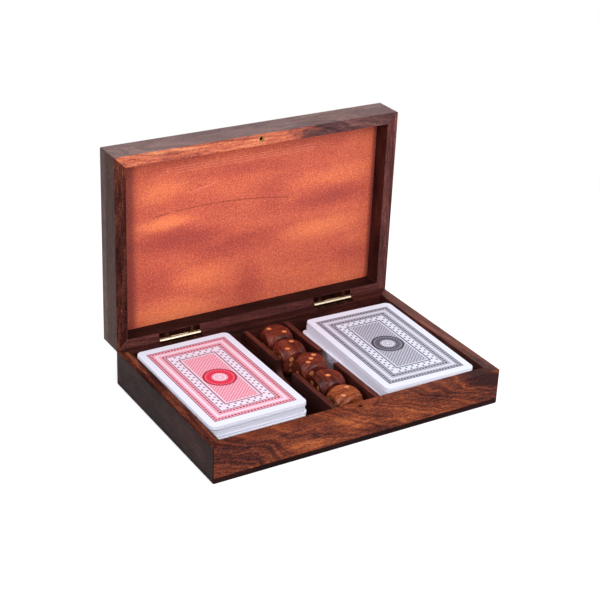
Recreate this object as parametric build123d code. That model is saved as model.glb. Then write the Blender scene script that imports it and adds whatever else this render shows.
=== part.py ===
from build123d import *
import math
import os

# A rosewood box for two packs of playing cards and five dice, with its hinged lid standing open.
# Millimetres. +Z is up, +X runs along the long side, and the front is towards -Y.
# The origin is the middle of the underside of the base.

# ---- what the box is made to hold ----
card_width = 57.0
card_length = 89.0
card_thickness = 0.32
card_air = 0.026          # air between two cards of a loose pack
card_corner = 3.5
cards_per_deck = 54
die_size = 16.0
die_ball_extra = 5.2      # the ball that rounds a die is this much wider than the die
pip_diameter = 2.8
pip_depth = 1.0
pip_offset = 3.3          # from the middle of a face to an outer pip, each way
pip_sink = 0.03           # the brass is filed this far below the wood
pip_glue = 0.02           # glue line round each pip

# ---- spare room round the contents ----
left_room = 12.7          # left compartment, wider than a card
right_room = 8.3          # right compartment, wider than a card
end_room = 12.3           # compartments, longer than a card
channel_room = 7.6        # dice channel, wider than a die

# ---- the wooden boards ----
wall = 6.6
base_height = 21.0
lid_height = 18.4
lid_gap = 0.4             # line of air between the two rims when the lid is shut
floor_thickness = 3.5
top_thickness = 6.6
lining_thickness = 1.2
board_fit = 0.05          # glue line round the lining and the ends of the dividers
edge_round = 0.9          # outer edges of the box, eased by sanding
lid_rear_round = 2.2      # the rear edge of the lid's top, rounded more
rear_bevel = 1.05         # bevels on both rear rims: they meet when the lid stands open
divider_thickness = 3.2
divider_drop = 3.0        # the dividers end this far below the rim
divider_groove = 1.2      # depth of the grooves that hold their ends
notch_length = 16.5       # finger notch in each divider
notch_depth = 10.0
notch_round = 6.0
notch_shift = 4.0         # the notches lie a little behind the middle

# ---- brass hinges ----
hinge_length = 25.5
hinge_from_end = 25.7     # from the end of the box to the hinge
axis_inset = 1.2          # the pin's line, in from the rear face
knuckle_diameter = 3.0
middle_knuckle = 11.0
knuckle_gap = 0.15        # end play between knuckles
leaf_thickness = 0.8
leaf_reach = 5.0          # from the pin's line to the far edge of a leaf
leaf_clearance = 0.1      # a leaf in its mortise, and past the other leaf's knuckles
knuckle_clearance = 0.15  # a knuckle in the wood
pin_diameter = 1.3
pin_fit_tight = 0.01      # round the pin, in the base leaf
pin_fit_running = 0.05    # round the pin, in the lid leaf
screw_spacing = 16.0
screw_from_pin = 3.4
screw_length = 7.0
screw_diameter = 1.5
screw_point = 1.2         # length of the tapered end
screw_tip = 0.4           # width left at its very end
screw_head = 2.6
screw_head_height = 0.55
screw_slot_width = 0.4
screw_slot_depth = 0.25
screw_fit = 0.03

# ---- catch: a magnet in the middle of each front rim ----
magnet_diameter = 3.5
magnet_thickness = 3.0
magnet_recess = 0.6
magnet_fit = 0.03
magnet_from_front = 3.0   # its middle, in from the front face
magnet_shift = -1.0       # a little left of the middle

# ---- how the lid stands ----
lid_angle = 90.0

# ---- where the loose contents lie ----
red_side_gap = 0.8        # the red pack, from the left wall
red_back_gap = 2.6        # and from the rear wall
red_turn = 0.3
black_side_gap = 3.9      # the black pack, from its divider
black_front_gap = 1.1     # and from the front wall
black_turn = -1.5
card_slip = 0.06          # each card's own small slip
slip_wave_x = 2.4         # how that slip wanders from card to card, in radians a card
slip_wave_y = 1.7

# Cards that have slipped together, from the foot of the pack: the share of the pack where
# the group ends, its slip to the right, its slip to the rear, and its twist in degrees.
red_groups = [
    (0.35, 0.1, 0.5, 0.2),
    (0.62, 0.2, -0.2, -0.3),
    (0.70, 0.6, 0.2, -0.1),
    (0.90, 0.0, 0.6, -0.2),
    (1.00, 0.0, 0.0, 0.0),
]
black_groups = [
    (0.30, 0.4, 0.6, 0.5),
    (0.60, -0.3, 0.9, 0.7),
    (0.66, -1.3, 1.2, 1.2),
    (0.84, 0.2, 0.5, 0.3),
    (1.00, 0.0, 0.0, 0.0),
]

# The dice, from the front one to the rear one: the face that is up, its quarter turns,
# its odd degrees, and its slip to the right of the channel's middle.
dice = [
    (2, 0, 2.0, -0.75),
    (1, 0, -2.0, 0.45),
    (3, 0, -4.9, 2.0),
    (2, 0, 1.2, -0.65),
    (2, 1, -3.0, 1.9),
]
# How the channel's spare length is shared, from the front wall to the rear wall.
die_gap_shares = [0.32, 0.14, 0.21, 0.145, 0.13, 0.055]

# ---- worked-out sizes ----
left_compartment = card_width + left_room
right_compartment = card_width + right_room
channel = die_size + channel_room
inner_width = left_compartment + channel + right_compartment + 2 * divider_thickness
inner_depth = card_length + end_room
width = inner_width + 2 * wall
depth = inner_depth + 2 * wall
inner_left = -inner_width / 2
inner_right = inner_width / 2
inner_front = -inner_depth / 2
inner_back = inner_depth / 2
left_divider_x = inner_left + left_compartment + divider_thickness / 2
right_divider_x = inner_right - right_compartment - divider_thickness / 2
channel_middle = (left_divider_x + right_divider_x) / 2
divider_top = base_height - divider_drop
card_pitch = card_thickness + card_air
knuckle_radius = knuckle_diameter / 2
pin_radius = pin_diameter / 2
axis_y = depth / 2 - axis_inset
axis_z = base_height + lid_gap / 2
hinge_x = width / 2 - hinge_from_end - hinge_length / 2
magnet_y = -depth / 2 + magnet_from_front
stop_angle = 2 * math.degrees(math.atan((lid_gap / 2 + rear_bevel) / axis_inset))
past = 5.0                # cutting tools run this far past what they cut


# ---- helpers ----
def block(x0, x1, y0, y1, z0, z1):
    """A rectangular block between two corners."""
    return Pos((x0 + x1) / 2, (y0 + y1) / 2, (z0 + z1) / 2) * Box(x1 - x0, y1 - y0, z1 - z0)


def prism(points, z0, z1):
    """An upright prism on a plan of straight lines."""
    plan = make_face(Polyline(*points, close=True))
    return Pos(0, 0, z0) * extrude(plan, z1 - z0)


def upright(radius, x, y, z0, z1):
    """An upright round bar or hole."""
    return Pos(x, y, (z0 + z1) / 2) * Cylinder(radius, z1 - z0)


def bar_along_x(x0, x1, radius):
    """A round bar on the X axis."""
    return Pos((x0 + x1) / 2, 0, 0) * Rot(0, 90, 0) * Cylinder(radius, x1 - x0)


def along_x(points, x0, x1):
    """A prism along X on a side view of straight lines, given as (y, z)."""
    side = Plane.YZ * make_face(Polyline(*points, close=True))
    return Pos(x0, 0, 0) * extrude(side, x1 - x0)


def save(shape, name):
    """Write one node."""
    export_step(shape, f"parts/{name}.step")
    volume = sum(solid.volume for solid in shape.solids())
    print(f"{name:26s} {volume:10.2f} mm3")


# ---- places: the base is drawn where it stands, the lid is drawn rim up and then swung ----
def on_base(shape):
    """From a carcass with its rim at z = 0 to the base."""
    return Pos(0, 0, base_height) * shape


def on_lid(shape):
    """From a carcass with its rim at z = 0 to the lid, turned over and swung open."""
    shut = Pos(0, 0, base_height + lid_gap) * mirror(shape, about=Plane.XY)
    return shut.rotate(Axis((0, axis_y, axis_z), (1, 0, 0)), -lid_angle)


# ---- the carcass: a plate with four mitred boards glued on it, drawn rim up at z = 0 ----
def rear_round_cut(height, radius):
    """The wood that a larger round takes off the rear edge of the outer face."""
    y = depth / 2 - radius
    z = -height + radius
    corner = block(-width, width, y, depth / 2 + past, -height - past, z)
    return corner - Pos(0, y, z) * bar_along_x(-width, width, radius)


def rear_bevel_cut():
    """The wood that the bevel takes off the rear edge of a rim."""
    y = depth / 2
    points = [(y - rear_bevel, 0), (y, -rear_bevel), (y + past, -rear_bevel), (y + past, past)]
    points.append((y - rear_bevel, past))
    return along_x(points, -width, width)


def sanded_form(height, rear_round):
    """The outside of a half of the box: plate and boards are sanded flush as one."""
    body = block(-width / 2, width / 2, -depth / 2, depth / 2, -height, 0)
    foot = body.faces().sort_by(Axis.Z)[0].edges()
    body = fillet(body.edges().filter_by(Axis.Z) + foot, edge_round)
    if rear_round > edge_round:
        body -= rear_round_cut(height, rear_round)
    return body


def slab(z0, z1):
    """All that lies between two heights."""
    return block(-width, width, -depth, depth, z0, z1)


def plate(height, thickness, rear_round):
    """The plate that closes the outer face. Its edges show all round."""
    return sanded_form(height, rear_round) & slab(-height - past, -height + thickness)


def carcass(height, thickness, rear_round):
    """The four boards on a plate of the given thickness, in one."""
    body = sanded_form(height, rear_round) & slab(-height + thickness, past)
    body -= block(inner_left, inner_right, inner_front, inner_back, -height - past, past)
    body -= rear_bevel_cut()
    return body


def mitre(body, side, height):
    """The board of one side, cut at 45 degrees at both ends."""
    out_x = width / 2 + past
    out_y = depth / 2 + past
    in_x = inner_right - past
    in_y = inner_back - past
    plans = {
        "front": [(-out_x, -out_y), (out_x, -out_y), (in_x, -in_y), (-in_x, -in_y)],
        "back": [(-out_x, out_y), (out_x, out_y), (in_x, in_y), (-in_x, in_y)],
        "left": [(-out_x, -out_y), (-out_x, out_y), (-in_x, in_y), (-in_x, -in_y)],
        "right": [(out_x, -out_y), (out_x, out_y), (in_x, in_y), (in_x, -in_y)],
    }
    return body & prism(plans[side], -height - past, past)


def screw_holes(radius, x, y, top, length):
    """A pair of upright holes, or of shanks, for one leaf."""
    pair = [upright(radius, x + side * screw_spacing / 2, y, top - length, top) for side in (-1, 1)]
    return pair[0] + pair[1]


def hinge_mortise(x):
    """What is cut out of a rear board for one leaf, its knuckles and its screws."""
    x0 = x - hinge_length / 2 - leaf_clearance
    x1 = x + hinge_length / 2 + leaf_clearance
    behind = depth / 2 + past
    leaf_bed = block(x0, x1, axis_y - leaf_reach - leaf_clearance, behind, -leaf_thickness, past)
    room = knuckle_radius + knuckle_clearance
    knuckle_bed = block(x0, x1, axis_y - room, behind, lid_gap / 2 - room, past)
    pilot = screw_diameter / 2 + screw_fit
    pilots = screw_holes(pilot, x, axis_y - screw_from_pin, 0, screw_length + screw_fit)
    return leaf_bed + knuckle_bed + pilots


def magnet_pocket():
    """The blind hole for a magnet in a front rim."""
    radius = magnet_diameter / 2 + magnet_fit
    return upright(radius, magnet_shift, magnet_y, -magnet_recess - magnet_thickness, past)


def magnet():
    """A disc magnet at the bottom of its hole."""
    top = -magnet_recess
    return upright(magnet_diameter / 2, magnet_shift, magnet_y, top - magnet_thickness, top)


# ---- dividers ----
def divider_grooves():
    """The stopped grooves in the front and rear walls, rim at z = 0."""
    bottom = floor_thickness - base_height
    cuts = []
    for x in (left_divider_x, right_divider_x):
        half = divider_thickness / 2 + board_fit
        front = inner_front - divider_groove
        back = inner_back + divider_groove
        cuts.append(block(x - half, x + half, front, back, bottom, -divider_drop))
    return cuts


def divider(x):
    """A divider board with its finger notch."""
    half = divider_thickness / 2
    reach = inner_back + divider_groove - board_fit
    board = block(x - half, x + half, -reach, reach, floor_thickness, divider_top)
    y0 = notch_shift - notch_length / 2
    y1 = notch_shift + notch_length / 2
    notch = block(x - half - past, x + half + past, y0, y1, divider_top - notch_depth, divider_top + past)
    lower = notch.faces().sort_by(Axis.Z)[0].edges().filter_by(Axis.X)
    notch = fillet(lower, min(notch_round, notch_length / 2 - board_fit))
    return board - notch


# ---- hinges, drawn with the pin on the X axis ----
def knuckle_ends():
    """Where the three knuckles start and end along the pin."""
    middle = middle_knuckle / 2
    outer = hinge_length / 2
    return {
        "middle": [(-middle, middle)],
        "outer": [(-outer, -middle - knuckle_gap), (middle + knuckle_gap, outer)],
    }


def leaf(own, other, pin_fit):
    """A leaf that lies below the pin: its own knuckles, and room for the other leaf's."""
    half = hinge_length / 2
    top = -lid_gap / 2
    body = block(-half, half, -leaf_reach, 0, top - leaf_thickness, top)
    for x0, x1 in knuckle_ends()[other]:
        room = knuckle_radius + leaf_clearance
        body -= block(x0 - knuckle_gap, x1 + knuckle_gap, -room, past, -past, past)
    for x0, x1 in knuckle_ends()[own]:
        body += bar_along_x(x0, x1, knuckle_radius)
    body -= bar_along_x(-half - past, half + past, pin_radius + pin_fit)
    hole = screw_diameter / 2 + screw_fit
    body -= screw_holes(hole, 0, -screw_from_pin, top, leaf_thickness + past)
    for side in (-1, 1):
        body -= screw_head_at(side * screw_spacing / 2, top, screw_fit)
    return body


def screw_head_at(x, top, fit):
    """The cone of a countersunk head, or of its seat, with its face at the given height."""
    lower = screw_diameter / 2 + fit
    upper = screw_head / 2 + fit
    cone = Cone(lower, upper, screw_head_height)
    return Pos(x, -screw_from_pin, top - screw_head_height / 2) * cone


def screws():
    """The two slotted screws of one leaf."""
    top = -lid_gap / 2
    foot = top - screw_length
    y = -screw_from_pin
    radius = screw_diameter / 2
    half = screw_slot_width / 2
    pair = []
    for side in (-1, 1):
        x = side * screw_spacing / 2
        shank = upright(radius, x, y, foot + screw_point, top - screw_head_height)
        point = Pos(x, y, foot + screw_point / 2) * Cone(screw_tip / 2, radius, screw_point)
        body = screw_head_at(x, top, 0) + shank + point
        slot_floor = top - screw_slot_depth
        slot = block(x - screw_head, x + screw_head, y - half, y + half, slot_floor, top + past)
        pair.append(body - slot)
    return pair


def pin():
    """The hinge pin, as long as the hinge."""
    return bar_along_x(-hinge_length / 2, hinge_length / 2, pin_radius)


def at_hinge(shape, x):
    """From the pin on the X axis to the pin's place beside a rim at z = 0."""
    return Pos(x, axis_y, lid_gap / 2) * shape


# ---- cards ----
def card(x, y, z, turn):
    """One card, lying flat."""
    face = RectangleRounded(card_width, card_length, card_corner)
    return Pos(x, y, z) * Rot(0, 0, turn) * extrude(face, card_thickness)


def deck(x, y, turn, groups):
    """A loose pack, from its lowest card to its top card."""
    cards = []
    for number in range(cards_per_deck):
        share = (number + 1) / cards_per_deck
        slip_x, slip_y, twist = next(group[1:] for group in groups if share <= group[0])
        if number < cards_per_deck - 1:
            slip_x += card_slip * math.sin(slip_wave_x * number)
            slip_y += card_slip * math.cos(slip_wave_y * number)
        z = floor_thickness + number * card_pitch
        cards.append(card(x + slip_x, y + slip_y, z, turn + twist))
    return cards


# ---- dice ----
pip_places = {
    1: [(0, 0)],
    2: [(-1, -1), (1, 1)],
    3: [(-1, -1), (0, 0), (1, 1)],
    4: [(-1, -1), (-1, 1), (1, -1), (1, 1)],
    5: [(-1, -1), (-1, 1), (1, -1), (1, 1), (0, 0)],
    6: [(-1, -1), (-1, 1), (1, -1), (1, 1), (-1, 0), (1, 0)],
}
# How the upper face is turned to each side: opposite sides add up to seven.
face_turns = {
    1: Rot(0, 0, 0),
    2: Rot(90, 0, 0),
    3: Rot(0, 90, 0),
    4: Rot(0, -90, 0),
    5: Rot(-90, 0, 0),
    6: Rot(180, 0, 0),
}
lifts = {1: Rot(0, 0, 0), 2: Rot(-90, 0, 0), 3: Rot(0, -90, 0)}


def pips(radius, sink):
    """All the pips of a die, or the holes that they sit in."""
    top = die_size / 2 - sink
    bottom = die_size / 2 - pip_depth
    found = []
    for number, places in pip_places.items():
        for across, along in places:
            plug = upright(radius, across * pip_offset, along * pip_offset, bottom, top)
            found.append(face_turns[number] * plug)
    return found


def die_wood():
    """A cube rounded by a ball, with a hole for each pip."""
    body = Box(die_size, die_size, die_size) & Sphere((die_size + die_ball_extra) / 2)
    return body - pips(pip_diameter / 2 + pip_glue, -past)


def die_places():
    """Where the middle of each die lies, from the front one to the rear one."""
    spare = inner_depth - len(dice) * die_size
    y = inner_front
    places = []
    for number, (up, quarter, odd, slip) in enumerate(dice):
        y += spare * die_gap_shares[number] + die_size / 2
        turn = Rot(0, 0, 90 * quarter + odd) * lifts[up]
        places.append(Pos(channel_middle + slip, y, floor_thickness + die_size / 2) * turn)
        y += die_size / 2
    return places


# ---- build it ----
os.makedirs("parts", exist_ok=True)

base = carcass(base_height, floor_thickness, edge_round)
base -= divider_grooves()
lid = carcass(lid_height, top_thickness, lid_rear_round)
for side in ("front", "back", "left", "right"):
    base_board = mitre(base, side, base_height)
    lid_board = mitre(lid, side, lid_height)
    if side == "back":
        for x in (-hinge_x, hinge_x):
            base_board -= hinge_mortise(x)
            lid_board -= hinge_mortise(x)
    if side == "front":
        base_board -= magnet_pocket()
        lid_board -= magnet_pocket()
    save(on_base(base_board), f"base_{side}_wall")
    save(on_lid(lid_board), f"lid_{side}_rail")

save(on_base(plate(base_height, floor_thickness, edge_round)), "base_floor_board")
save(on_lid(plate(lid_height, top_thickness, lid_rear_round)), "lid_top_board")
lining_outer = lid_height - top_thickness
lining = block(
    inner_left + board_fit,
    inner_right - board_fit,
    inner_front + board_fit,
    inner_back - board_fit,
    -lining_outer,
    lining_thickness - lining_outer,
)
save(on_lid(lining), "lid_lining_board")
save(divider(left_divider_x), "left_divider")
save(divider(right_divider_x), "right_divider")
save(on_base(magnet()), "base_catch_magnet")
save(on_lid(magnet()), "lid_catch_magnet")

base_screws = []
lid_screws = []
for name, x in (("left", -hinge_x), ("right", hinge_x)):
    base_leaf = leaf("outer", "middle", pin_fit_tight)
    lid_leaf = leaf("middle", "outer", pin_fit_running)
    save(on_base(at_hinge(base_leaf, x)), f"{name}_hinge_base_leaf")
    save(on_lid(at_hinge(lid_leaf, x)), f"{name}_hinge_lid_leaf")
    save(on_base(at_hinge(pin(), x)), f"{name}_hinge_pin")
    base_screws += [on_base(at_hinge(one, x)) for one in screws()]
    lid_screws += [on_lid(at_hinge(one, x)) for one in screws()]
save(Compound(base_screws), "base_hinge_screws")
save(Compound(lid_screws), "lid_hinge_screws")

red_x = inner_left + red_side_gap + card_width / 2
red_y = inner_back - red_back_gap - card_length / 2
black_x = right_divider_x + divider_thickness / 2 + black_side_gap + card_width / 2
black_y = inner_front + black_front_gap + card_length / 2
for name, cards in (
    ("red", deck(red_x, red_y, red_turn, red_groups)),
    ("black", deck(black_x, black_y, black_turn, black_groups)),
):
    save(Compound(cards[:-1]), f"{name}_deck_cards")
    save(cards[-1], f"{name}_deck_top_card")

wood = die_wood()
brass = Compound(pips(pip_diameter / 2, pip_sink))
for number, place in enumerate(die_places(), start=1):
    save(place * wood, f"die_{number}")
    save(place * brass, f"die_{number}_pips")

shut_height = base_height + lid_gap + lid_height
pack_height = cards_per_deck * card_pitch
print("shut, the box is", round(width, 2), "x", round(depth, 2), "x", round(shut_height, 2))
print("the pin's line is at y", round(axis_y, 3), "and z", round(axis_z, 3))
print("the bevels of the rear rims meet at", round(stop_angle, 2), "degrees")
print("a pack is", round(pack_height, 2), "high, and its top is at", round(floor_thickness + pack_height, 2))
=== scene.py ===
# %% [markdown]
# # A rosewood box for cards and dice
# The box comes from the workshop as separate boards, hinges, screws, cards and dice, each where it belongs.
# This lesson gives every one of them its finish, and then photographs the open box on a white table.
# The shapes stay as they were made. What is added here is grain, stain, print, brass and light.

# %% Open the workshop's model
import bpy
import math
from mathutils import Matrix, Vector


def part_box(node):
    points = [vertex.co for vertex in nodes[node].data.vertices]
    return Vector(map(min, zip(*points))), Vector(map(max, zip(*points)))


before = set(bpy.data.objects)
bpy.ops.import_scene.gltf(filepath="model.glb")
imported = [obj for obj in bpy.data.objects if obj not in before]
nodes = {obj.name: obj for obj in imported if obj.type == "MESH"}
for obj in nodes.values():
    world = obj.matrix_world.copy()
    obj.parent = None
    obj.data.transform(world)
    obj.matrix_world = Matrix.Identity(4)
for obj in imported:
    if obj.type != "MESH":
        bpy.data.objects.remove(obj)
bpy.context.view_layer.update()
MM = 0.001
print("pieces from the workshop:", len(nodes))

# %% [markdown]
# ## The camera
# A photographer stood in front of the box, a little to the left and well above it, with a long lens.
# A camera can be aimed with a constraint, but here its place is worked out from two angles and a distance,
# because those are the numbers that a photographer can read off a tripod. The camera was also tilted a little.

# %% Put the camera on its tripod
LENS = 87.8                 # mm, on a sensor 36 mm wide
SENSOR = 36.0
CAMERA_TURN = -32.10        # degrees, to the left of the front
CAMERA_HEIGHT = 26.22       # degrees above the table
CAMERA_DISTANCE = 815.7     # mm from the aim
AIM_ASIDE = -3.57           # mm, the aim's place across the picture and up the picture
AIM_UP = 52.07
CAMERA_TILT = 2.58          # degrees
NEAREST = 0.01              # m, the camera sees nothing closer than this


def direction(turn, height):
    """The direction from the box to something that stands at these two angles."""
    turn, height = math.radians(turn), math.radians(height)
    level = math.cos(height)
    return Vector((math.sin(turn) * level, -math.cos(turn) * level, math.sin(height)))


def place_camera():
    """The camera, looking down its own -Z axis."""
    back = direction(CAMERA_TURN, CAMERA_HEIGHT)
    level_right = (-back).cross(Vector((0, 0, 1))).normalized()
    level_up = level_right.cross(-back)
    tilt = math.radians(CAMERA_TILT)
    right = level_right * math.cos(tilt) + level_up * math.sin(tilt)
    up = level_up * math.cos(tilt) - level_right * math.sin(tilt)
    data = bpy.data.cameras.new("camera")
    data.lens = LENS
    data.sensor_width = SENSOR
    data.clip_start = NEAREST
    camera = bpy.data.objects.new("camera", data)
    bpy.context.scene.collection.objects.link(camera)
    axes = Matrix((right, up, back)).transposed().to_4x4()
    place = (back * CAMERA_DISTANCE + right * AIM_ASIDE + up * AIM_UP) * MM
    camera.matrix_world = Matrix.Translation(place) @ axes
    return camera


bpy.context.scene.camera = place_camera()
print("camera at, mm:", [round(c / MM) for c in bpy.context.scene.camera.matrix_world.translation])

# %% [markdown]
# ## Sums on a surface
# A finish that is made of nodes is a sum that is worked out at each point of a surface. Writing such a sum by
# clicking nodes together is slow to read, so this cell wraps a node's output in a small class. Adding,
# multiplying or comparing two of these puts down a Math node, and the sum then reads like ordinary arithmetic.
# All lengths in these sums are millimetres on the object, so a pore 0.1 wide is a tenth of a millimetre.

# %% A value that varies over a surface
class Field:
    """The output of a node. Arithmetic with it adds Math nodes to the same tree."""

    def __init__(self, tree, socket):
        self.tree = tree
        self.socket = socket

    def feed(self, value, target):
        """Give a node's input a field, or a plain number or colour."""
        if isinstance(value, Field):
            self.tree.links.new(value.socket, target)
        else:
            target.default_value = value

    def sum(self, operation, *others):
        """One Math node, fed with this field and then the others."""
        node = self.tree.nodes.new("ShaderNodeMath")
        node.operation = operation
        for value, target in zip((self,) + others, node.inputs):
            self.feed(value, target)
        return Field(self.tree, node.outputs[0])

    def __add__(self, other):
        return self.sum("ADD", other)

    def __sub__(self, other):
        return self.sum("SUBTRACT", other)

    def __mul__(self, other):
        return self.sum("MULTIPLY", other)

    def __truediv__(self, other):
        return self.sum("DIVIDE", other)

    def __neg__(self):
        return self * -1.0

    def __lt__(self, other):
        return self.sum("LESS_THAN", other)

    def __gt__(self, other):
        return self.sum("GREATER_THAN", other)

    def size(self):
        return self.sum("ABSOLUTE")

    def larger(self, other):
        return self.sum("MAXIMUM", other)

    def smaller(self, other):
        return self.sum("MINIMUM", other)

    def other(self):
        """1 where the field is 0, and 0 where it is 1."""
        return self * -1.0 + 1.0

    def distance(self, other):
        """How far a point is from the line where both fields are 0."""
        return (self * self + other * other).sum("SQRT")

    def repeat(self, period):
        """The distance from the nearest of the marks that stand a period apart."""
        return self.sum("PINGPONG", period / 2)

    def rise(self, low, high):
        """0 below low, 1 above high, and a smooth slope between them."""
        node = self.tree.nodes.new("ShaderNodeMapRange")
        node.interpolation_type = "SMOOTHSTEP"
        self.feed(self, node.inputs["Value"])
        node.inputs["From Min"].default_value = low
        node.inputs["From Max"].default_value = high
        return Field(self.tree, node.outputs["Result"])

    def within(self, low, high):
        """1 where the field lies between two values, and 0 elsewhere."""
        return (self > low) * (self < high)


# %% A finish, which is a material with its sums
LOOKS_ALONG = (0.3, 0.8)    # a face's share of an axis at which it starts to count as facing it, and fully does
BEVEL_SAMPLES = 4


def as_seen(red, green, blue):
    """A colour as a screen shows it, 0 to 255, turned into the linear light that a shader wants."""
    parts = []
    for part in (red, green, blue):
        part /= 255
        parts.append(part / 12.92 if part <= 0.04045 else ((part + 0.055) / 1.055) ** 2.4)
    return (*parts, 1.0)


class Finish:
    """A material, and short names for the nodes that finishes are made of."""

    def __init__(self, name):
        self.material = bpy.data.materials.new(name)
        self.material.use_nodes = True
        self.tree = self.material.node_tree
        self.surface = self.tree.nodes["Principled BSDF"]

    def node(self, kind, output, inputs, **settings):
        """A node of any kind, set and fed, as the field that leaves one of its outputs."""
        made = self.tree.nodes.new("ShaderNode" + kind)
        for setting, value in settings.items():
            setattr(made, setting, value)
        out = Field(self.tree, made.outputs[output])
        for place, value in inputs.items():
            out.feed(value, made.inputs[place])
        return out

    def place(self, middle=(0, 0, 0)):
        """Where a point of the surface is, in mm from the given middle, as three fields."""
        point = self.node("TexCoord", "Object", {})
        scaled = self.node("VectorMath", "Vector", {0: point, 1: (1 / MM,) * 3}, operation="MULTIPLY")
        moved = self.node("VectorMath", "Vector", {0: scaled, 1: middle}, operation="SUBTRACT")
        return [self.node("SeparateXYZ", axis, {0: moved}) for axis in "XYZ"]

    def facing(self, axis, way=1):
        """1 on faces that look along an axis of the object, or against it, and 0 on faces that look aside."""
        normal = self.node("TexCoord", "Normal", {})
        return (self.node("SeparateXYZ", axis, {0: normal}) * way).rise(*LOOKS_ALONG)

    def point(self, x, y=0.0, z=0.0):
        """A point in noise, made of three fields or numbers."""
        return self.node("CombineXYZ", 0, {0: x, 1: y, 2: z})

    def noise(self, point, size, detail=2.0, roughness=0.5, distortion=0.0):
        """Soft noise from 0 to 1 whose blotches are about this many mm across."""
        values = {"Vector": point, "Scale": 1.0 / size, "Detail": detail, "Roughness": roughness,
                  "Distortion": distortion}
        return self.node("TexNoise", 0, values)

    def blend(self, amount, first, second):
        """Mix two colours."""
        return self.node("Mix", 2, {0: amount, 6: first, 7: second}, data_type="RGBA")

    def ramp(self, value, positions, colours):
        """A colour for each value, with smooth steps between the positions."""
        made = self.node("ValToRGB", "Color", {0: value})
        band = made.socket.node.color_ramp
        band.interpolation = "EASE"
        while len(band.elements) < len(colours):
            band.elements.new(1.0)
        for element, position, colour in zip(band.elements, positions, colours):
            element.position = position
            element.color = colour
        return made

    def tones(self, tone, palette):
        """The colour that a palette of wood has at each tone."""
        return self.ramp(tone, TONES, palette)

    def relief(self, height, depth, edge=0.0):
        """Height from 0 to 1, as a relief this many mm deep, on edges eased by a radius."""
        values = {"Height": height, "Distance": depth * MM, "Strength": 1.0}
        if edge:
            values["Normal"] = self.node("Bevel", 0, {"Radius": edge * MM}, samples=BEVEL_SAMPLES)
        self.set("Normal", self.node("Bump", 0, values))

    def set(self, name, value):
        """Feed one of the surface's own inputs."""
        target = self.surface.inputs[name]
        if isinstance(value, Field):
            self.tree.links.new(value.socket, target)
        else:
            target.default_value = value

    def give(self, *names):
        """Lay this finish on pieces from the workshop."""
        for name in names:
            data = nodes[name].data
            data.materials.clear()
            data.materials.append(self.material)


# %% [markdown]
# ## Rosewood
# A board is cut out of a trunk, so its figure is the trunk's rings seen from one side. Painting streaks on each
# face would break them at the corners. Instead the rings are worked out in the whole trunk: a point's distance
# from the heart of the tree gives its ring, and a slow wandering noise bends the trunk as real growth does.
# Thin inky lines, a glow of orange wood, streaks and short open pores are laid over the rings.
# Each board has its own heart and its own shift, so no two boards look alike, and the grain runs along each
# board. A palette holds four colours, from the darkest rings to the palest, and a point's tone picks its colour.

# %% The trunk that the boards are cut from
WANDER_SIZE = 26.0          # mm, how far apart the trunk's slow bends are
WANDER = 13.0               # mm, how far they go
SWIRL_SIZE = 7.0            # mm, the same for its small bends
SWIRL = 2.2
RING = 2.3                  # mm, a year's growth
RING_DRIFT = 50             # mm along the trunk for each mm that the rings change
INK = 1.7                   # mm, the spacing of the inky lines
INK_DRIFT = 70
INK_EDGE = (0.55, 0.63)     # the noise at which an inky line starts and is full
INK_STRENGTH = 0.75
INK_DARKNESS = 0.45         # the share of the palette's darkest colour in the ink
GLOW_SIZE = 14.0            # mm, across a patch of glowing wood
GLOW_LENGTH = 2.4           # times as long as wide
STREAK_WIDTH = 0.75         # mm
STREAK_LENGTH = 9           # times as long as wide
FLECK = 0.55                # mm, the fine mottle of the cut fibres
FLECK_LENGTH = 2            # times as long as wide
PORE_WIDTH = 0.32           # mm
PORE_LENGTH = 7             # times as long as wide
PORE_EDGE = (0.58, 0.70)    # the same as for the ink
PORE_STRENGTH = 0.6
PORE_TINT = 0.35            # the share of the wood's own colour in a pore
RING_SHARE = 1.1            # how much each part of the figure adds to the tone
GLOW_SHARE = 0.9
STREAK_SHARE = 0.7
FLECK_SHARE = 0.9
TONES = (0.20, 0.41, 0.60, 0.86)    # of a palette's four colours
SATIN = 0.36                # roughness of waxed wood
DULLER = 0.2                # how much rougher its dull patches and its pores are
WAX_PATCH = 6.0             # mm, across such a patch
RELIEF = 0.05               # mm, the depth of the open pores
SEAM = 0.13                 # mm, the glue line of a mitre, to each side
EASED_EDGE = 0.3            # mm, what sandpaper takes off an edge

FIGURED = [as_seen(48, 20, 20), as_seen(94, 44, 32), as_seen(128, 62, 39), as_seen(174, 94, 54)]
WINE = [as_seen(50, 25, 26), as_seen(80, 41, 40), as_seen(102, 55, 50), as_seen(134, 82, 74)]
RUSSET = [as_seen(56, 26, 22), as_seen(90, 45, 37), as_seen(112, 60, 47), as_seen(142, 84, 64)]
STREAKED = [as_seen(32, 12, 11), as_seen(60, 27, 23), as_seen(92, 46, 35), as_seen(142, 80, 54)]
BROWN = [as_seen(46, 18, 16), as_seen(72, 32, 27), as_seen(92, 44, 36), as_seen(118, 62, 48)]
DARK = [as_seen(30, 12, 11), as_seen(52, 22, 20), as_seen(70, 31, 26), as_seen(90, 44, 34)]
ASHEN = [as_seen(50, 34, 32), as_seen(66, 45, 41), as_seen(76, 52, 47), as_seen(92, 64, 57)]
SMOKED = [as_seen(28, 15, 14), as_seen(38, 21, 20), as_seen(46, 27, 25), as_seen(60, 37, 33)]
BLACK = [as_seen(16, 7, 7), as_seen(28, 13, 13), as_seen(40, 19, 18), as_seen(54, 28, 24)]
PURPLE = [as_seen(46, 24, 28), as_seen(74, 42, 44), as_seen(98, 60, 58), as_seen(132, 88, 82)]
ORANGE = [as_seen(120, 52, 46), as_seen(176, 86, 66), as_seen(208, 112, 80), as_seen(236, 150, 106)]
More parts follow.
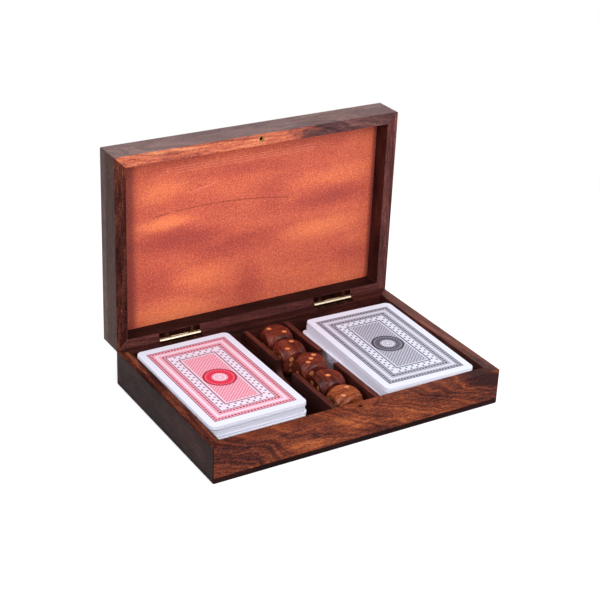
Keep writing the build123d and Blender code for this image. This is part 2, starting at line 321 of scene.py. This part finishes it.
# This mauve palette is a painted sheen: the white tent reflected in faces that look up.
MAUVE_SHEEN = [as_seen(96, 70, 70), as_seen(112, 84, 82), as_seen(124, 94, 90), as_seen(138, 104, 98)]
GLUE = as_seen(24, 11, 8)
PORE = as_seen(18, 8, 8)


def rings_of(wood, along, across, deep, heart, lean, stretch):
    """The three parts of the figure: rings, inky lines and glow."""
    flow = wood.point(along / stretch, across, deep)
    wander = wood.noise(flow, WANDER_SIZE, 2.0) - 0.5
    swirl = wood.noise(flow, SWIRL_SIZE, 3.0) - 0.5
    radius = (across - heart[0]).distance(deep - heart[1])
    radius = radius + along * lean + wander * (2 * WANDER) + swirl * (2 * SWIRL)
    rings = wood.noise(wood.point(radius, along / RING_DRIFT), RING, 3.0, 0.62)
    ink = wood.noise(wood.point(radius, along / INK_DRIFT), INK, 2.0, 0.55)
    glow = wood.noise(wood.point(along / GLOW_LENGTH, across, deep), GLOW_SIZE, 2.0, 0.55, 0.5)
    return rings, ink, glow


def mitre_lines(wood, length_axis, half_length, width_axis, half_width, middle):
    """Thin lines where two boards meet at 45 degrees: there both faces are equally far from their corner."""
    spot = wood.place()
    from_end = -(spot["XYZ".index(length_axis)].size()) + half_length
    from_side = -((spot["XYZ".index(width_axis)] - middle).size()) + half_width
    return (from_end - from_side).size() < SEAM


def rosewood(name, grain, heart, shift, colours, lean=0.05, glow_amount=1.0, gloss=0.14, seams=None,
             stretch=7.0, upper=None, stain=None, glue=GLUE, patches=None):
    """A board of rosewood.

    grain is the axis that it runs along, and heart is where the tree's heart lies across it, in mm.
    shift picks the place in the trunk, lean is how steeply the rings cross the board, and stretch is how
    many times longer than wide their bends are. seams says where its mitres are.
    upper is the palette of its upper faces, which carries a painted sheen on the lid and a painted highlight on
    the dividers. stain and patches change the colour and the tone at will, and on the lid stain also paints
    light and shade.
    """
    wood = Finish(name)
    spot = wood.place(shift)
    along = spot["XYZ".index(grain)]
    across, deep = [spot[axis] for axis in range(3) if axis != "XYZ".index(grain)]
    rings, ink, glow = rings_of(wood, along, across, deep, heart, lean, stretch)
    streaks = wood.noise(wood.point(along / STREAK_LENGTH, across, deep), STREAK_WIDTH, 3.0, 0.6)
    fleck = wood.noise(wood.point(along / FLECK_LENGTH, across, deep), FLECK, 2.0, 0.7)
    tone = (rings - 0.5) * RING_SHARE + (glow - 0.5) * (GLOW_SHARE * glow_amount) + 0.5
    tone = tone + (streaks - 0.5) * STREAK_SHARE + (fleck - 0.5) * FLECK_SHARE
    if patches:
        tone = patches(wood, tone)
    colour = wood.tones(tone, colours)
    if upper:
        colour = wood.blend(wood.facing("Z"), colour, wood.tones(tone, upper))
    if stain:
        colour = stain(wood, tone, colour)
    inky = ink.rise(*INK_EDGE) * INK_STRENGTH
    colour = wood.blend(inky, colour, wood.blend(INK_DARKNESS, colour, colours[0]))
    pores = wood.noise(wood.point(along / PORE_LENGTH, across, deep), PORE_WIDTH, 1.0).rise(*PORE_EDGE)
    colour = wood.blend(pores * PORE_STRENGTH, colour, wood.blend(PORE_TINT, PORE, colour))
    if seams:
        colour = wood.blend(mitre_lines(wood, *seams), colour, glue)
    wax = wood.noise(wood.point(along, across, deep), WAX_PATCH, 3.0)
    wood.set("Base Color", colour)
    wood.set("Roughness", wax * DULLER + SATIN + pores * DULLER)
    wood.set("Specular IOR Level", gloss)
    wood.relief(pores * -0.7 - inky * 0.3 + fleck * 0.2, RELIEF, EASED_EDGE)
    return wood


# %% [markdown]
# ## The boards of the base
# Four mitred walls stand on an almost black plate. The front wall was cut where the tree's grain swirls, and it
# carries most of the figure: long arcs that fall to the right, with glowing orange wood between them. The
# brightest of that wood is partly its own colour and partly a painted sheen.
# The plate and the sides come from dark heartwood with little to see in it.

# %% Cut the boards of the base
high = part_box("base_floor_board")[1]
half_long = high.x / MM
half_deep = high.y / MM
base_corner = ("X", half_long, "Y", half_deep, 0.0)

GLOW_SLANT = 1.5            # mm aside for each mm down
# Middle and half size along X and Z in mm, and how much each patch adds to the tone. The pale patches are
# partly pale wood and partly a painted sheen.
GLOWS = [(-34, 7, 17, 5, 0.26), (-7, 14, 11, 6, 0.26), (28, 9, 8, 6, 0.20), (46, 15, 14, 5, -0.10),
         (82, 16, 16, 9, -0.34), (-72, 13, 24, 12, -0.20), (8, 5, 12, 4, -0.10)]


def glowing_patches(wood, tone):
    """Patches of pale and of dark wood on the front wall, the pale ones partly a painted sheen."""
    x, y, z = wood.place()
    for middle_x, middle_z, half_x, half_z, amount in GLOWS:
        aside = x - middle_x + (z - middle_z) * GLOW_SLANT
        away = (aside / half_x).distance((z - middle_z) / half_z)
        tone = tone + away.rise(0.2, 1.3).other() * amount
    return tone


rosewood("front wall", "X", (-60, -42), (12, 4, 9), FIGURED, 0.36, 0.45, 0.06, base_corner, 1.9,
         patches=glowing_patches).give("base_front_wall")
rosewood("back wall", "X", (22, -26), (-60, 41, 3), DARK, 0.03, 0.7, seams=base_corner).give("base_back_wall")
rosewood("left wall", "Y", (31, 18), (11, 70, -14), SMOKED, 0.04, 0.8, 0.03, base_corner,
         upper=STREAKED).give("base_left_wall")
rosewood("right wall", "Y", (-25, 20), (5, -33, 28), BROWN, 0.05, 1.0, 0.15, base_corner,
         upper=RUSSET).give("base_right_wall")
rosewood("base plate", "X", (90, 40), (8, 15, 60), BLACK, 0.03, 0.8, 0.03).give("base_floor_board")
# The dividers' lighter upper palette is a painted highlight on their top edges.
rosewood("left divider", "Y", (12, 9), (64, 12, 5), DARK, 0.04, 0.8, upper=BROWN).give("left_divider")
rosewood("right divider", "Y", (15, -8), (-48, 55, 31), DARK, 0.04, 1.0, upper=BROWN).give("right_divider")

# %% [markdown]
# ## The boards of the lid
# The lid stands open, so the camera sees its rims, its lining and its front rail's outer face from above. That
# face looks up and is painted a dusty mauve: a painted sheen, the white tent reflected in it. Its rim was cut
# through orange wood as far as the right third, where dark heart begins, and there the painted sheen on the
# outer face half gives way to purple. One material can hold all of it: the way that a face looks, and a place
# along the board, choose the colour. The glue line of the mitres is tan on the back and left rails, and dark on
# the others.

# %% Cut the boards of the lid
low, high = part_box("lid_top_board")
lid_middle = (low.z + high.z) / 2 / MM
lid_corner = ("X", half_long, "Z", (high.z - low.z) / 2 / MM, lid_middle)
HEART_STARTS = (16.0, 36.0)     # mm along the front rail
HEART_RAGGED = 46.0             # mm, how far its edge strays
TAN = as_seen(150, 96, 66)


def sapwood(wood, tone, colour):
    """Orange on the left of the front rail's rim; on its outer face, the painted sheen is half purple on the
    right.
    """
    x, y, z = wood.place()
    ragged = wood.noise(wood.point(x / 2, y, z), 5.0, 3.0) - 0.5
    left = (x + ragged * HEART_RAGGED).rise(*HEART_STARTS).other()
    sheen_face = wood.facing("Z")
    colour = wood.blend(left.other() * sheen_face * 0.5, colour, wood.tones(tone, PURPLE))
    return wood.blend(left * sheen_face.other(), colour, wood.tones(tone, ORANGE))


def painted_left_faces(palette):
    """Painted light and shade on the faces of a board that look to the left, as a palette of their own."""
    def stain(wood, tone, colour):
        return wood.blend(wood.facing("X", -1), colour, wood.tones(tone, palette))
    return stain


# The mauve upper palette of the front rail and of the top is a painted sheen.
rosewood("lid front rail", "X", (28, 25), (18, 22, 31), PURPLE, 0.12, 0.6, 0.2, lid_corner, 4.0, MAUVE_SHEEN,
         sapwood).give("lid_front_rail")
rosewood("lid back rail", "X", (24, -20), (77, 9, 12), WINE, 0.10, 0.6, 0.08, lid_corner, upper=BLACK,
         glue=TAN).give("lid_back_rail")
# The faces that look to the left get painted light and shade: greyer on the left rail's outer face and the top's
# left end, darker on the right rail's inner face.
rosewood("lid left rail", "Z", (26, 12), (35, 50, 20), STREAKED, 0.05, 0.6, 0.04, lid_corner, glue=TAN,
         stain=painted_left_faces(ASHEN)).give("lid_left_rail")
rosewood("lid right rail", "Z", (-18, 22), (4, 61, 45), WINE, 0.05, 0.8, 0.08, lid_corner,
         stain=painted_left_faces(DARK)).give("lid_right_rail")
rosewood("lid top", "X", (60, -45), (12, 33, 70), BROWN, 0.05, 0.8, 0.15, upper=MAUVE_SHEEN,
         stain=painted_left_faces(ASHEN)).give("lid_top_board")
print("trunk rings, mm:", RING, " boards cut: 12")

# %% [markdown]
# ## The lining of the lid
# Inside the lid lies a thin board that was stained orange-red and then waxed. Light shimmers on such a veneer in
# broad soft bands, and the stain gathers in its open pores as a fine speckle. An image would do it, but bands,
# speckle and a few scratches are easily worked out, and then they are as sharp as the camera needs.
# Close to the rails a painted shadow of the rails darkens the lining: wide and soft on the left, narrow on the
# right.

# %% Stain the lining
low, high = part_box("lid_lining_board")
lining_half = (high.x - low.x) / 2 / MM
BAND_LENGTH = 3.4           # a band is this much longer than wide
BAND_WIDTH = 13.0           # mm
BAND_RISE = 0.06            # bands climb to the right
BEND_SIZE = 40.0            # mm, and they bend over this length
BEND = 22                   # mm, by this much
SPECKLE = 0.62              # mm
SPECKLE_LENGTH = 1.2        # times as long as high
BAND_SHARE = 0.35           # how much the bands and the speckle add to the tone
SPECKLE_SHARE = 1.3
MIDDLE_TONE = 0.52
STAIN = [as_seen(156, 66, 60), as_seen(188, 84, 68), as_seen(212, 103, 76), as_seen(238, 132, 86)]
STAIN_TONES = (0.22, 0.42, 0.58, 0.78)
DARK_MARK = as_seen(110, 44, 38)
DARK_STRENGTH = 0.6
PALE_MARK = as_seen(250, 170, 140)
PALE_STRENGTH = 0.4
# The painted shadow that the rails cast on the lining, and where it fades.
SHADED = as_seen(84, 32, 36)
SHADED_STRENGTH = 0.66
SHADED_LEFT = (6.8, 12.5)   # mm from the left edge, where the painted shadow starts to fade and ends
SHADED_RIGHT = (0.5, 3.6)   # mm from the right edge
CURVE_TOP = (-28.0, 93.8)   # mm along X and Z, the highest point of the long dark scratch
CURVE_FALL = 0.0018         # how it falls away to both sides
RUB_HEIGHT = 117.4          # mm, the middle one of three pale rubbed lines
RUB_GAP = 1.5
SCRATCH_FOOT = (-31.5, 104.4)   # mm along X and Z, a point of the short pale scratch
SCRATCH_RISE = 0.2
MARK_END = 6                # mm, over which a mark fades out at its ends
# Middle and half size along X and Z in mm, and how much each lighter or darker patch adds to the tone.
LINING_PATCHES = [(-47, 75, 32, 8, -0.20), (-7, 67, 30, 8, -0.15), (49, 85, 22, 7, -0.20), (-62, 51, 13, 7, -0.10),
         (-1, 39, 9, 14, -0.12), (8, 112, 45, 5, -0.08), (68, 47, 12, 6, -0.10), (13, 96, 10, 10, -0.08),
         (-57, 107, 16, 8, 0.20), (-54, 87, 18, 4, 0.26), (50, 65, 28, 6, 0.20), (65, 99, 18, 6, 0.12),
         (-32, 51, 18, 8, 0.15), (-50, 31, 28, 8, 0.20), (43, 97, 16, 6, 0.08), (43, 31, 30, 8, 0.10)]


def thin_line(lining, x, off_line, start, end, width):
    """A scratch: where the distance from a line is small, between two places along x."""
    on_line = off_line.size().rise(width * 0.5, width * 1.5).other()
    started = x.rise(start, start + MARK_END)
    going_on = x.rise(end - MARK_END, end).other()
    broken = lining.noise(lining.point(x), 4.0, 2.0).rise(0.30, 0.55)
    return on_line * started * going_on * broken


def marked(lining, x, z, colour):
    """The marks of years: one long dark scratch, three rubbed lines and one short pale scratch."""
    aside = x - CURVE_TOP[0]
    curve = z - CURVE_TOP[1] + aside * aside * CURVE_FALL
    colour = lining.blend(thin_line(lining, x, curve, -64, 28, 0.32) * DARK_STRENGTH, colour, DARK_MARK)
    rubs = (z - RUB_HEIGHT).repeat(RUB_GAP)
    rubbed = thin_line(lining, x, rubs, -58, 44, 0.16) * z.within(RUB_HEIGHT - 2, RUB_HEIGHT + 2)
    slope = z - SCRATCH_FOOT[1] - (x - SCRATCH_FOOT[0]) * SCRATCH_RISE
    scratch = thin_line(lining, x, slope, -42, -19, 0.24)
    return lining.blend(rubbed.larger(scratch) * PALE_STRENGTH, colour, PALE_MARK)


def stained_lining():
    """The lining: bands and speckle, lighter and darker patches, marks of use, and a painted shadow near the
    rails.
    """
    lining = Finish("stained lining")
    x, depth, z = lining.place()
    bend = (lining.noise(lining.point(x, 0.0, z), BEND_SIZE, 1.0) - 0.5) * BEND
    bent = z - x * BAND_RISE + bend
    band = lining.noise(lining.point(x / BAND_LENGTH + 4.0, 9.0, bent), BAND_WIDTH, 3.0, 0.5)
    speck = lining.noise(lining.point(x / SPECKLE_LENGTH, depth, z), SPECKLE, 2.0, 0.75)
    tone = (band - 0.5) * BAND_SHARE + (speck - 0.5) * SPECKLE_SHARE + MIDDLE_TONE
    for middle_x, middle_z, half_x, half_z, amount in LINING_PATCHES:
        away = ((x - middle_x) / half_x).distance((z - middle_z + bend * 0.25) / half_z)
        tone = tone + away.rise(0.1, 1.5).other() * amount
    colour = marked(lining, x, z, lining.ramp(tone, STAIN_TONES, STAIN))
    # Painted shadow of the rails.
    shade_left = (x + lining_half).rise(*SHADED_LEFT).other()
    shade_right = (-x + lining_half).rise(*SHADED_RIGHT).other()
    colour = lining.blend(shade_left.larger(shade_right) * SHADED_STRENGTH, colour, SHADED)
    lining.set("Base Color", colour)
    lining.set("Roughness", speck * 0.2 + 0.45)
    lining.set("Specular IOR Level", 0.15)
    lining.relief(speck, 0.04)
    lining.give("lid_lining_board")


stained_lining()

# %% [markdown]
# ## Brass
# The hinges are rolled brass. The upper side of their knuckles is a painted highlight, and their flat leaves and
# the knuckles' lower side carry a painted dark reflection of the wood around them. A plain metal material would
# be too clean and too even, so the distance from the pin and the height above it choose between bright and dark
# brass, and fine scratches and a slow tarnish lie over both.

# %% Roll the hinges, screws, magnets and pips
PIN_Y, PIN_Z = 56.05, 21.2  # mm, the pin's line
KNUCKLE = 1.6               # mm, just outside a knuckle
KNUCKLE_EDGE = 0.15         # mm, to each side, from bright to dark
HIGHLIGHT_FROM = (0.5, 0.8)    # mm above the pin, where the painted highlight on a knuckle starts
# The leaf colours are a painted dark reflection of the wood around the hinges.
LEAF_REFLECTION = (as_seen(86, 50, 40), as_seen(56, 31, 27))
MAGNET_RADIUS = 1.05        # mm
# The dark middle of a magnet is painted shade in its recess.
MAGNET_SHADE = as_seen(34, 18, 14)
SCRATCH_LENGTH = 14.0       # times as long as wide
SCRATCH_WIDTH = 0.2         # mm
TARNISH_SIZE = 2.2          # mm
BRASS_SHINE = 0.2           # roughness of the hinges, screws and magnets


def brass(name, bright, dull, roughness=BRASS_SHINE, leaf_colours=None, metallic=1.0):
    """Rolled brass. With leaf colours, only the upper side of the knuckles keeps a painted highlight; the rest
    is painted dark.
    """
    metal = Finish(name)
    x, y, z = metal.place()
    scratches = metal.noise(metal.point(x / SCRATCH_LENGTH, y, z), SCRATCH_WIDTH, 2.0, 0.6)
    tarnish = metal.noise(metal.point(x, y, z), TARNISH_SIZE, 3.0, 0.6)
    colour = metal.blend(tarnish.rise(0.40, 0.68), bright, dull)
    if leaf_colours:
        leaf = (y - PIN_Y).distance(z - PIN_Z).rise(KNUCKLE - KNUCKLE_EDGE, KNUCKLE + KNUCKLE_EDGE)
        under = (z - PIN_Z).rise(*HIGHLIGHT_FROM).other()
        dark = metal.blend(tarnish.rise(0.35, 0.65), *leaf_colours)
        colour = metal.blend(leaf.larger(under), colour, dark)
    metal.set("Base Color", colour)
    metal.set("Metallic", metallic)
    metal.set("Roughness", scratches * 0.08 + tarnish * 0.06 + roughness)
    metal.relief(scratches, 0.004, 0.08)
    return metal


def magnet(name, node, across):
    """Bare brass round a dark middle, the painted shade in the magnet's recess. across holds the two axes of its
    face.
    """
    plated = brass(name, as_seen(228, 176, 100), as_seen(150, 100, 54))
    low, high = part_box(node)
    spot = plated.place(tuple((low + high) / 2 / MM))
    off = spot["XYZ".index(across[0])].distance(spot["XYZ".index(across[1])])
    colour = Field(plated.tree, plated.surface.inputs["Base Color"].links[0].from_socket)
    plated.set("Base Color", plated.blend(off < MAGNET_RADIUS, colour, MAGNET_SHADE))
    plated.give(node)


# The bright colours are the knuckles' painted highlight; the leaf colours paint their dark reflection.
hinge_brass = brass("hinge brass", as_seen(255, 240, 214), as_seen(248, 222, 180), leaf_colours=LEAF_REFLECTION)
hinge_brass.give("left_hinge_base_leaf", "right_hinge_base_leaf", "left_hinge_lid_leaf", "right_hinge_lid_leaf")
brass("pin brass", as_seen(226, 196, 130), as_seen(186, 146, 84)).give("left_hinge_pin", "right_hinge_pin")
brass("screw brass", as_seen(124, 82, 56), as_seen(84, 52, 38)).give("base_hinge_screws", "lid_hinge_screws")
magnet("base magnet", "base_catch_magnet", "XY")
magnet("lid magnet", "lid_catch_magnet", "XZ")

# The pips were filed flush and are dull, so they are hardly metallic. Those of the front die are the most worn.
PIP_METAL = 0.2
pip_brass = brass("pip brass", as_seen(240, 154, 92), as_seen(208, 122, 72), 0.34, metallic=PIP_METAL)
pip_brass.give(*[f"die_{number}_pips" for number in range(2, 6)])
worn_brass = brass("worn pip brass", as_seen(214, 148, 98), as_seen(186, 118, 76), 0.4, metallic=PIP_METAL)
worn_brass.give("die_1_pips")

# %% [markdown]
# ## The cards
# A card is white stock with a thin glossy varnish. The pack's sides are the real edges of its cards.
# The back of the top card carries a printed design of the old kind: frames of teeth, a ribbed band, dots,
# a lattice and a round medallion with nothing in it. It is built from one idea. A point's inset from the printed
# frame says which band it lies in, and the run along the frame says where it is in that band's repeat.

# %% The plan of the printed back
PRINT_HALF_WIDTH = 24.3     # mm, from the middle of the card to the printed frame
PRINT_HALF_LENGTH = 39.7
LINE = 0.62                 # mm, width of a printed line
TEETH = (0.5, 2.3)          # insets from the frame, in mm, at which each band starts and ends
RIBS = (2.3, 5.8)
INNER_TEETH = (5.8, 7.7)
SECOND_LINE = 8.0
INNER_LINE = 13.4
LATTICE = 14.6
TOOTH = 1.9                 # mm, the repeat of each band
RIB = 0.95
DOT = 3.9
DOT_ROWS = (9.6, 11.7)
DOT_LEAN = 1.95             # mm, from one row to the next
DOT_SIZE = 0.66
LATTICE_PITCH = 1.5         # mm, across the slanting lines
BEAD_ROWS = (1.6, 6.7)      # insets of the beads in the two bands of teeth
BEAD = 0.64                 # mm, radius
MEDALLION = 9.3             # mm, radii of the medallion and of the rings and bands in it
MEDALLION_DISC = 8.5
PEARLS = (7.4, 7.9)
NOTCHES = (5.3, 6.7)
MEDALLION_PALE = 4.4
FADE = (3.3, MEDALLION_PALE)
PETALS = (1.4, 2.2)
FINE_RINGS = (1.2, 2.4)
FINE_LINE = 0.17            # mm, half the width of a fine ring


def teeth(inset, run, band):
    """A row of pointed teeth along each side of a band."""
    middle = (band[0] + band[1]) / 2
    off = (inset - middle).size() / (band[1] - middle)
    point = run.repeat(TOOTH) / (TOOTH / 2)
    return (off < point * 0.8 + 0.2) * inset.within(*band)


def beads(inset, run, middle, size, period=TOOTH):
    """Dark beads in a row."""
    return run.repeat(period).distance(inset - middle) < size


def ribs(inset, run, band):
    """Fine cross lines that leave a light stripe in the middle of the band."""
    middle = (band[0] + band[1]) / 2
    off = (inset - middle).size() / (band[1] - middle)
    lines = (run.repeat(RIB) < RIB * 0.3) * 0.7 + 0.3
    return lines * off.rise(0.1, 1.0) * inset.within(*band)


def dots(inset, run):
    """Slanting rows of dots."""
    found = None
    for number, row in enumerate(DOT_ROWS):
        dot = beads(inset, run + number * DOT_LEAN, row, DOT_SIZE, DOT)
        found = found.larger(dot) if found else dot
    return found


def spokes(radius, turn, band, count, threshold):
    """Marks all round a band of the medallion. A higher threshold makes them narrower."""
    return radius.within(*band) * ((turn * count).sum("COSINE") > threshold)


def medallion(u, v):
    """How much ink and how much deep ink a round medallion has, and where it covers the lattice."""
    radius = u.distance(v)
    turn = u.sum("ARCTAN2", v)
    disc = radius.within(MEDALLION_PALE, MEDALLION_DISC)
    pearls = spokes(radius, turn, PEARLS, 30, 0.45) * 0.6
    fade = spokes(radius, turn, FADE, 30, 0.2)
    petals = spokes(radius, turn, PETALS, 8, 0.3)
    notches = spokes(radius, turn, NOTCHES, 36, 0.25)
    inner, outer = [(radius - ring).size() for ring in FINE_RINGS]
    rings = inner.smaller(outer) < FINE_LINE
    edge = radius.within(MEDALLION_DISC, MEDALLION)
    ink = (disc - pearls).larger(fade).larger(rings * 0.7).larger(petals * 0.6)
    return ink, edge.larger(notches * 0.55), radius < MEDALLION


# %% Print the backs
WHITE = as_seen(226, 231, 248)
TOOTH_INK = 0.45            # strengths of the ink
RIB_INK = 0.75
LINE_INK = 0.9


def lattice(u, v):
    """Lines that slant both ways, those of one way thinner and fainter."""
    step = LATTICE_PITCH * math.sqrt(2)
    bold = ((u - v).repeat(step) < step * 0.24) * 0.7
    return bold.larger(((u + v).repeat(step) < step * 0.2) * 0.6)


def frame_lines(inset):
    """The three plain lines of the frame."""
    lines = inset.within(0.0, LINE).larger((inset - SECOND_LINE).size() < LINE / 2)
    return lines.larger((inset - INNER_LINE).size() < LINE * 0.7)


def card_back(name, node, turn, faint, ink, disc_ink, deep):
    """The printed back of the top card of a pack, in four inks."""
    card = Finish(name)
    low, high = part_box(node)
    x, y, height = card.place(tuple((low + high) / 2 / MM))
    angle = math.radians(turn)
    u = x * math.cos(angle) + y * math.sin(angle)
    v = y * math.cos(angle) - x * math.sin(angle)
    over_u = u.size() - PRINT_HALF_WIDTH
    over_v = v.size() - PRINT_HALF_LENGTH
    inset = -(over_u.larger(over_v))
    on_side = over_u > over_v
    run = v * on_side + u * on_side.other()

    toothed = teeth(inset, run, TEETH).larger(teeth(inset, run, INNER_TEETH)) * TOOTH_INK
    ribbed = ribs(inset, run, RIBS) * RIB_INK
    light_ink = toothed.larger(ribbed).larger(lattice(u, v) * (inset > LATTICE))
    dark_ink = frame_lines(inset) * LINE_INK
    for row in BEAD_ROWS:
        dark_ink = dark_ink.larger(beads(inset, run, row, BEAD))
    dark_ink = dark_ink.larger(dots(inset, run) * LINE_INK)
    tinted = inset.within(0.0, SECOND_LINE).larger(inset > LATTICE)
    round_ink, round_deep, round_cover = medallion(u, v)

    colour = card.blend(tinted, card.blend((inset > 0.0) * 0.25, WHITE, faint), faint)
    bare = (inset - (RIBS[0] + RIBS[1]) / 2).size().rise(0.2, 1.4).other()
    colour = card.blend(bare * 0.6, colour, WHITE)
    colour = card.blend(light_ink, colour, ink)
    colour = card.blend(dark_ink, colour, deep)
    centre = card.blend(round_ink, card.blend(0.4, WHITE, faint), disc_ink)
    colour = card.blend(round_cover, colour, card.blend(round_deep, centre, deep))
    colour = card.blend(height > 0.0, WHITE, colour)
    card.set("Base Color", colour)
    card.set("Roughness", card.noise(card.point(u, v), 1.3, 2.0) * 0.08 + 0.38)
    card.set("Specular IOR Level", 0.25)
    card.relief(card.noise(card.point(u, v), 0.5, 1.0), 0.003)
    card.give(node)


RED_TURN = 0.3              # degrees, as the packs lie
BLACK_TURN = -1.5
card_back("red card back", "red_deck_top_card", RED_TURN, as_seen(244, 200, 218), as_seen(212, 80, 112),
          as_seen(226, 56, 84), as_seen(142, 28, 58))
card_back("black card back", "black_deck_top_card", BLACK_TURN, as_seen(204, 205, 222), as_seen(92, 92, 112),
          as_seen(96, 94, 108), as_seen(16, 15, 26))

# %% Cut the edges of the packs
CARD_PITCH = 0.346          # mm from card to card
FLOOR = 3.5                 # mm, where the lowest card lies
CARD_JUMP = 7.3             # from card to card in the noise, so that each has a tint of its own
SMUDGE_SIZE = 2.4           # mm
SMUDGE_LENGTH = 3           # times as long as high
# The stock is bluer than the printed white: partly the cards' own tint, partly a painted tint of the cool light
# on the pack's sides.
STOCK_WHITE = as_seen(243, 244, 255)
STOCK_GREY = as_seen(224, 227, 255)
SMUDGE = as_seen(226, 212, 216)


def pack_edges(name, node, seed):
    """White stock, whose cards differ a little in tint where hands have held them."""
    stock = Finish(name)
    x, y, z = stock.place()
    number = ((z - FLOOR) / CARD_PITCH).sum("FLOOR")
    tint = stock.noise(stock.point(number * CARD_JUMP, seed), 1.0, 0.0)
    smudge = stock.noise(stock.point(x / SMUDGE_LENGTH, y / SMUDGE_LENGTH, z), SMUDGE_SIZE, 2.0)
    colour = stock.blend(tint.rise(0.35, 0.75) * 0.5, STOCK_WHITE, STOCK_GREY)
    colour = stock.blend(smudge.rise(0.6, 0.85) * 0.2, colour, SMUDGE)
    stock.set("Base Color", colour)
    stock.set("Roughness", smudge * 0.1 + 0.5)
    stock.set("Specular IOR Level", 0.2)
    stock.relief(smudge, 0.01)
    stock.give(node)


pack_edges("red pack edges", "red_deck_cards", 2.0)
pack_edges("black pack edges", "black_deck_cards", 9.0)

# %% [markdown]
# ## The dice
# The dice are sawn from the same rosewood and polished, so their faces shine and their rounded corners catch
# the light. Each is cut from another place of the trunk. The one at the front comes from lighter wood.

# %% Polish the dice
DIE_REDS = [as_seen(44, 14, 11), as_seen(90, 34, 26), as_seen(118, 49, 35), as_seen(148, 70, 48)]
DIE_LIGHT = [as_seen(70, 28, 16), as_seen(128, 60, 34), as_seen(162, 83, 46), as_seen(194, 114, 64)]
DIE_GRAINS = "XYXYX"


def polished_die(number, grain):
    """A die, cut further along the trunk than the one before it."""
    colours = DIE_LIGHT if number == 1 else DIE_REDS
    heart = (14 + 3 * number, 9)
    shift = (23 * number, 7 * number, 5)
    wood = rosewood(f"die {number}", grain, heart, shift, colours, 0.1, 0.8, 0.12)
    wood.set("Roughness", 0.3)
    wood.set("Coat Weight", 0.15)
    wood.set("Coat Roughness", 0.1)
    wood.give(f"die_{number}")


for number, grain in enumerate(DIE_GRAINS, start=1):
    polished_die(number, grain)

# %% [markdown]
# ## Table and light
# A product photographer stands the object in a white tent: it is lit from all sides, a little more from the
# front. The world is that tent here. One large soft lamp stands in front, a weaker and slightly cooler one on
# the left, and a small one puts glints on brass and dice.
# The paper has to look white without so much light that the wood washes out. So the world and the far paper
# count as plain white only for what looks straight at them, or sees them in a reflection, and give a gentler
# grey as light. The near paper still takes the shadow of the box.

# %% Lay the paper
PAPER_REACH = 1.6           # m
NEAR_PAPER = 0.16           # m, where the paper starts to fade into plain white
FAR_PAPER = 0.42            # m, where it is plain white
NEAR_GLOW = 0.45            # how much of its white the near paper has of itself
PAPER_WHITE = as_seen(232, 232, 234)
PLAIN_BLACK = (0.0, 0.0, 0.0, 1.0)
PLAIN_WHITE = (1.0, 1.0, 1.0, 1.0)
SKY_FILL = 0.75             # strength of the world as light


def looked_at(tree):
    """1 for light that the camera sees directly, in a reflection or through glass."""
    rays = tree.nodes.new("ShaderNodeLightPath")
    seen = Field(tree, rays.outputs["Is Camera Ray"])
    seen = seen.larger(Field(tree, rays.outputs["Is Glossy Ray"]))
    return seen.larger(Field(tree, rays.outputs["Is Transmission Ray"]))


def white_paper():
    """A round sheet that takes the shadow near the box and is plain white further out."""
    bpy.ops.mesh.primitive_circle_add(vertices=64, radius=PAPER_REACH, fill_type="NGON")
    sheet = bpy.context.active_object
    sheet.name = "paper"
    paper = Finish("white paper")
    x, y, z = paper.place()
    seen = looked_at(paper.tree)
    far = x.distance(y).rise(NEAR_PAPER / MM, FAR_PAPER / MM)
    paper.set("Base Color", paper.blend(far * seen, PAPER_WHITE, PLAIN_BLACK))
    paper.set("Roughness", 0.9)
    paper.set("Specular IOR Level", 0.0)
    paper.set("Emission Color", PLAIN_WHITE)
    paper.set("Emission Strength", seen * (far * (1.0 - NEAR_GLOW) + NEAR_GLOW))
    sheet.data.materials.append(paper.material)


def white_world():
    """The tent: plain white to look at, and a gentler light on the object."""
    world = bpy.data.worlds.new("white studio")
    bpy.context.scene.world = world
    world.use_nodes = True
    background = world.node_tree.nodes["Background"]
    background.inputs["Color"].default_value = PLAIN_WHITE
    strength = looked_at(world.node_tree) * (1.0 - SKY_FILL) + SKY_FILL
    world.node_tree.links.new(strength.socket, background.inputs["Strength"])


white_paper()
white_world()

# %% Hang the lamps
LAMP_AIM = Vector((0, 0, 40)) * MM
SOFT_BOX_AWAY = 1.2         # m
SOFT_BOX_SIDE = 0.6         # m


def soft_lamp(name, turn, height, distance, side, power, tint=(1, 1, 1)):
    """A square lamp aimed at the box: two angles in degrees, its distance and side in m, its power in W."""
    data = bpy.data.lights.new(name, "AREA")
    data.shape = "SQUARE"
    data.size = side
    data.energy = power
    data.color = tint
    lamp = bpy.data.objects.new(name, data)
    bpy.context.scene.collection.objects.link(lamp)
    away = direction(turn, height)
    lamp.location = LAMP_AIM + away * distance
    lamp.rotation_mode = "QUATERNION"
    lamp.rotation_quaternion = away.to_track_quat("Z", "Y")


soft_lamp("front soft box", 4, 42, SOFT_BOX_AWAY, SOFT_BOX_SIDE, 7.2)
soft_lamp("left soft box", -78, 32, SOFT_BOX_AWAY, SOFT_BOX_SIDE, 3.9, (0.91, 0.94, 1.0))
soft_lamp("glint lamp", -40, 58, 1.0, 0.1, 0.5)

# %% [markdown]
# ## Look
# Standard view shows a colour as it was written, which is what a catalogue picture wants.

# %% Finish
bpy.context.scene.view_settings.view_transform = "Standard"
print("finishes made:", len(bpy.data.materials))
